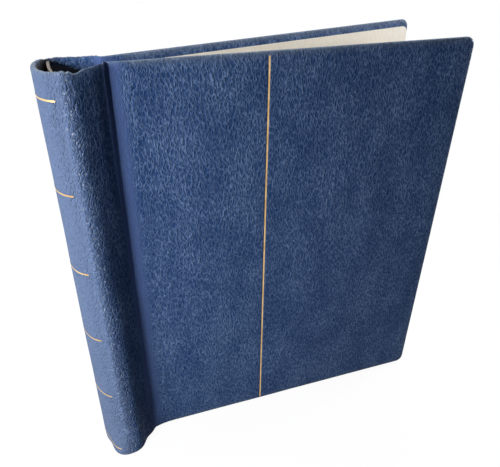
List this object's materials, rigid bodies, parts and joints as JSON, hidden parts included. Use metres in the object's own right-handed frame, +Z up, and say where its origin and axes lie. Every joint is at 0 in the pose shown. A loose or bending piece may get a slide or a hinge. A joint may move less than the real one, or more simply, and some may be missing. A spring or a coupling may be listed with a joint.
{
  "type": "stamp album",
  "caption": "Navy padded ring-binder stamp album with a soft round spine, gold rules, cream linings, punched leaves and an opening ring mechanism.",
  "frame": {"origin": "middle of the base of the album's box, on the surface it stands on", "axes": "+Z up along the spine, +X from the spine to the fore-edge, the front cover on -Y"},
  "size_m": [0.2988, 0.0776, 0.325],
  "materials": {
    "navy_leatherette": "satin grained",
    "padding_foam": "matte",
    "greyboard": "matte",
    "dark_paper": "matte",
    "cream_lining": "matte",
    "album_leaf": "matte",
    "gold_foil": "satin",
    "nickel_plate": "polished",
    "zinc_rail": "satin"
  },
  "bodies": {
    "spine": {"spine_leatherette": "navy_leatherette", "spine_foam": "padding_foam", "spine_stiffener": "dark_paper", "spine_board": "greyboard", "spine_board_lining": "dark_paper", "spine_gold_rules": "gold_foil", "mechanism_plate": "nickel_plate", "plate_rivets": "nickel_plate", "rivet_spacers": "nickel_plate", "top_lever_pin": "nickel_plate", "bottom_lever_pin": "nickel_plate"},
    "front_hinge_strip": {"front_hinge_leatherette": "navy_leatherette", "front_hinge_lining": "dark_paper"},
    "front_cover": {"front_cover_leatherette": "navy_leatherette", "front_cover_foam": "padding_foam", "front_cover_board": "greyboard", "front_cover_lining": "cream_lining", "front_gold_rule": "gold_foil"},
    "front_rings": {"front_ring_rail": "zinc_rail", "front_half_rings": "nickel_plate"},
    "back_hinge_strip": {"back_hinge_leatherette": "navy_leatherette", "back_hinge_lining": "dark_paper"},
    "back_cover": {"back_cover_leatherette": "navy_leatherette", "back_cover_foam": "padding_foam", "back_cover_board": "greyboard", "back_cover_lining": "cream_lining"},
    "back_rings": {"back_ring_rail": "zinc_rail", "back_half_rings": "nickel_plate"},
    "top_lever": {"top_lever": "nickel_plate"},
    "bottom_lever": {"bottom_lever": "nickel_plate"},
    "leaf_1": {"leaf_1": "album_leaf"},
    "leaf_2": {"leaf_2": "album_leaf"},
    "leaf_3": {"leaf_3": "album_leaf"},
    "leaf_4": {"leaf_4": "album_leaf"},
    "leaf_5": {"leaf_5": "album_leaf"},
    "leaf_6": {"leaf_6": "album_leaf"},
    "leaf_7": {"leaf_7": "album_leaf"},
    "leaf_8": {"leaf_8": "album_leaf"}
  },
  "joints": [
    {"name": "front_cover_swing", "type": "hinge", "parent": "spine", "child": "front_hinge_strip", "pos_m": [-0.13652, -0.0196, 0], "axis": [0, 0, -1], "range_deg": [-4.88, 62.62]},
    {"name": "front_crease_bend", "type": "hinge", "parent": "front_hinge_strip", "child": "front_cover", "pos_m": [-0.10907, -0.0075, 0], "axis": [0, 0, -1], "range_deg": [-1.64, 20.89]},
    {"name": "back_cover_swing", "type": "hinge", "parent": "spine", "child": "back_hinge_strip", "pos_m": [-0.13652, 0.0196, 0], "axis": [0, 0, 1], "range_deg": [-4.88, 62.62]},
    {"name": "back_crease_bend", "type": "hinge", "parent": "back_hinge_strip", "child": "back_cover", "pos_m": [-0.10907, 0.0075, 0], "axis": [0, 0, 1], "range_deg": [-1.64, 20.89]},
    {"name": "leaf_1_turn", "type": "hinge", "parent": "spine", "child": "leaf_1", "pos_m": [-0.12577, 0, 0], "axis": [0, 0, -1], "range_deg": [-4.69, 60.13]},
    {"name": "leaf_2_turn", "type": "hinge", "parent": "spine", "child": "leaf_2", "pos_m": [-0.12577, 0, 0], "axis": [0, 0, -1], "range_deg": [-3.35, 42.95]},
    {"name": "leaf_3_turn", "type": "hinge", "parent": "spine", "child": "leaf_3", "pos_m": [-0.12577, 0, 0], "axis": [0, 0, -1], "range_deg": [-2.02, 25.78]},
    {"name": "leaf_4_turn", "type": "hinge", "parent": "spine", "child": "leaf_4", "pos_m": [-0.12577, 0, 0], "axis": [0, 0, -1], "range_deg": [-0.68, 8.6]},
    {"name": "leaf_5_turn", "type": "hinge", "parent": "spine", "child": "leaf_5", "pos_m": [-0.12577, 0, 0], "axis": [0, 0, 1], "range_deg": [-0.68, 8.6]},
    {"name": "leaf_6_turn", "type": "hinge", "parent": "spine", "child": "leaf_6", "pos_m": [-0.12577, 0, 0], "axis": [0, 0, 1], "range_deg": [-2.02, 25.78]},
    {"name": "leaf_7_turn", "type": "hinge", "parent": "spine", "child": "leaf_7", "pos_m": [-0.12577, 0, 0], "axis": [0, 0, 1], "range_deg": [-3.35, 42.95]},
    {"name": "leaf_8_turn", "type": "hinge", "parent": "spine", "child": "leaf_8", "pos_m": [-0.12577, 0, 0], "axis": [0, 0, 1], "range_deg": [-4.69, 60.13]},
    {"name": "front_rings_open", "type": "hinge", "parent": "spine", "child": "front_rings", "pos_m": [-0.13677, -0.0084, 0], "axis": [0, 0, -1], "range_deg": [0, 7]},
    {"name": "back_rings_open", "type": "hinge", "parent": "spine", "child": "back_rings", "pos_m": [-0.13677, 0.0084, 0], "axis": [0, 0, 1], "range_deg": [0, 7]},
    {"name": "top_lever_press", "type": "hinge", "parent": "spine", "child": "top_lever", "pos_m": [-0.13607, 0, 0.3035], "axis": [0, -1, 0], "range_deg": [0, 30.01]},
    {"name": "bottom_lever_press", "type": "hinge", "parent": "spine", "child": "bottom_lever", "pos_m": [-0.13607, 0, 0.0215], "axis": [0, 1, 0], "range_deg": [0, 30.01]}
  ],
  "couplings": [
    {"joint": "front_crease_bend", "follows": "front_cover_swing", "ratio": 0.33333},
    {"joint": "back_crease_bend", "follows": "back_cover_swing", "ratio": 0.33333},
    {"joint": "leaf_1_turn", "follows": "front_cover_swing", "ratio": 0.96},
    {"joint": "leaf_2_turn", "follows": "front_cover_swing", "ratio": 0.68571},
    {"joint": "leaf_3_turn", "follows": "front_cover_swing", "ratio": 0.41143},
    {"joint": "leaf_4_turn", "follows": "front_cover_swing", "ratio": 0.13714},
    {"joint": "leaf_5_turn", "follows": "back_cover_swing", "ratio": 0.13714},
    {"joint": "leaf_6_turn", "follows": "back_cover_swing", "ratio": 0.41143},
    {"joint": "leaf_7_turn", "follows": "back_cover_swing", "ratio": 0.68571},
    {"joint": "leaf_8_turn", "follows": "back_cover_swing", "ratio": 0.96},
    {"joint": "back_rings_open", "follows": "front_rings_open", "ratio": 1},
    {"joint": "top_lever_press", "follows": "front_rings_open", "ratio": 4.2857},
    {"joint": "bottom_lever_press", "follows": "front_rings_open", "ratio": 4.2857}
  ]
}
